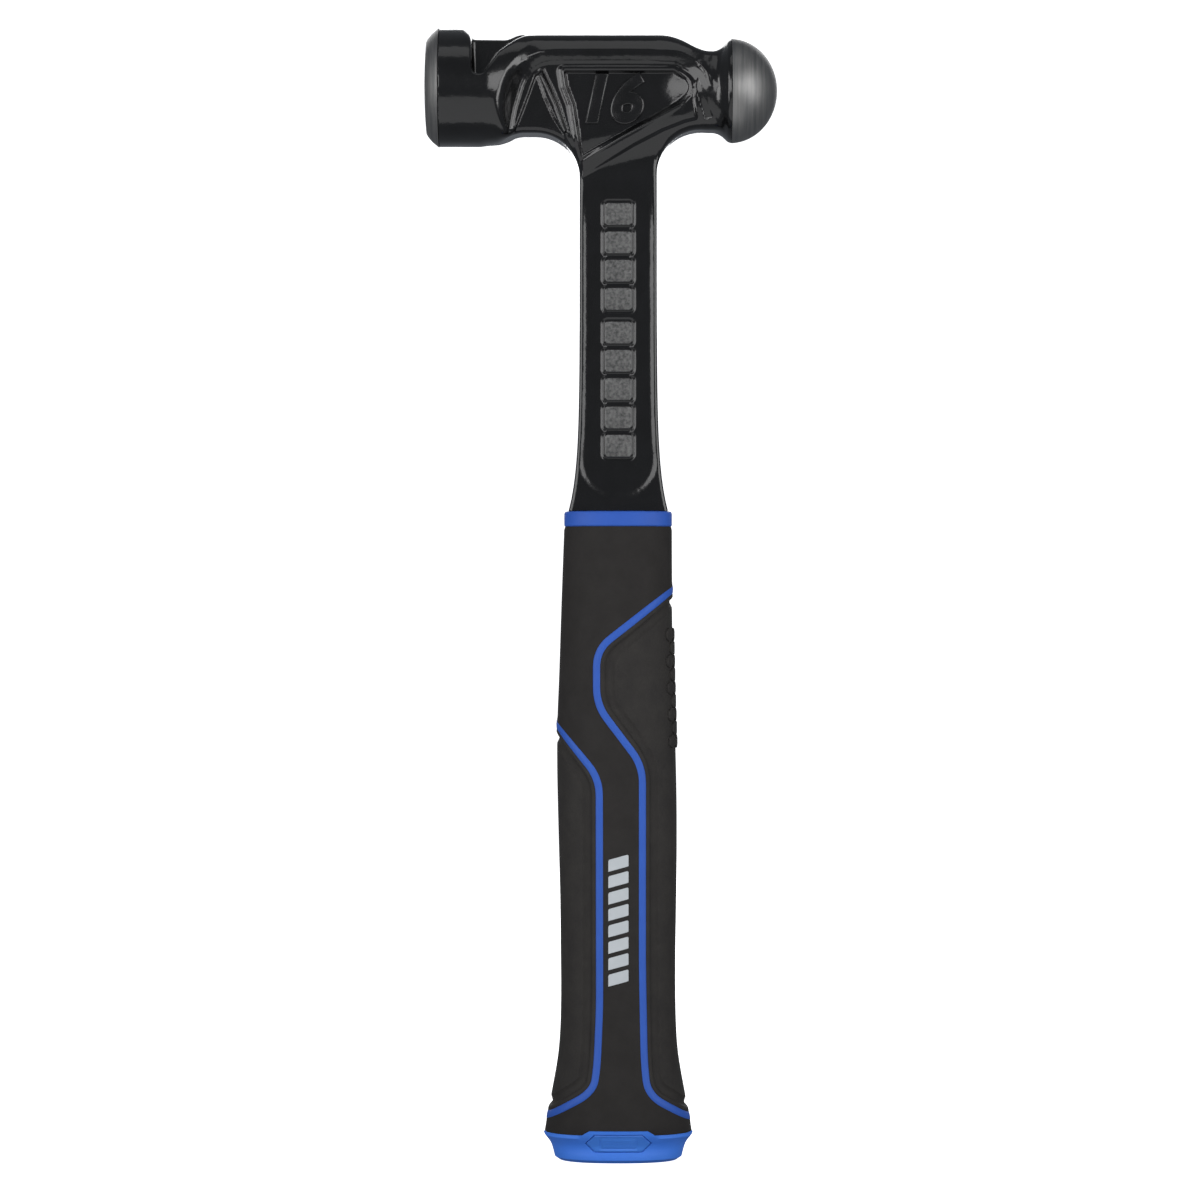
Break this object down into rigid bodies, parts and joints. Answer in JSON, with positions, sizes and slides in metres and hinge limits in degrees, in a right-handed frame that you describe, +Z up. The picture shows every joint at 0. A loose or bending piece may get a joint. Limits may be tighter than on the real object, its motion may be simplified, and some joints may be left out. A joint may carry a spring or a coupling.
{
  "type": "ball peen hammer",
  "caption": "One-piece forged steel ball peen hammer with a flat striking face, a ball peen and a two-tone moulded soft grip with a flared butt cap.",
  "frame": {"origin": "centre of the flat underside of the butt cap, on the shaft's centre line", "axes": "+Z up the shaft to the head; +X towards the ball peen, so the striking face looks along -X; +Y towards the back cheek, and the front cheek faces -Y"},
  "size_m": [0.1025, 0.0352, 0.3282],
  "materials": {
    "forged_steel": "gloss",
    "blue_trim": "satin",
    "core_plastic": "matte",
    "dark_grip": "matte",
    "side_grip": "matte",
    "cap_plastic": "satin",
    "badge_plastic": "satin"
  },
  "bodies": {
    "root": {"forging": "forged_steel", "core_sleeve": "core_plastic", "collar_ring": "blue_trim", "grip_body": "dark_grip", "finger_panel": "side_grip", "palm_panel": "side_grip", "finger_piping": "blue_trim", "palm_piping": "blue_trim", "end_cap": "cap_plastic", "cap_badge_front": "badge_plastic", "cap_badge_back": "badge_plastic"}
  },
  "joints": []
}
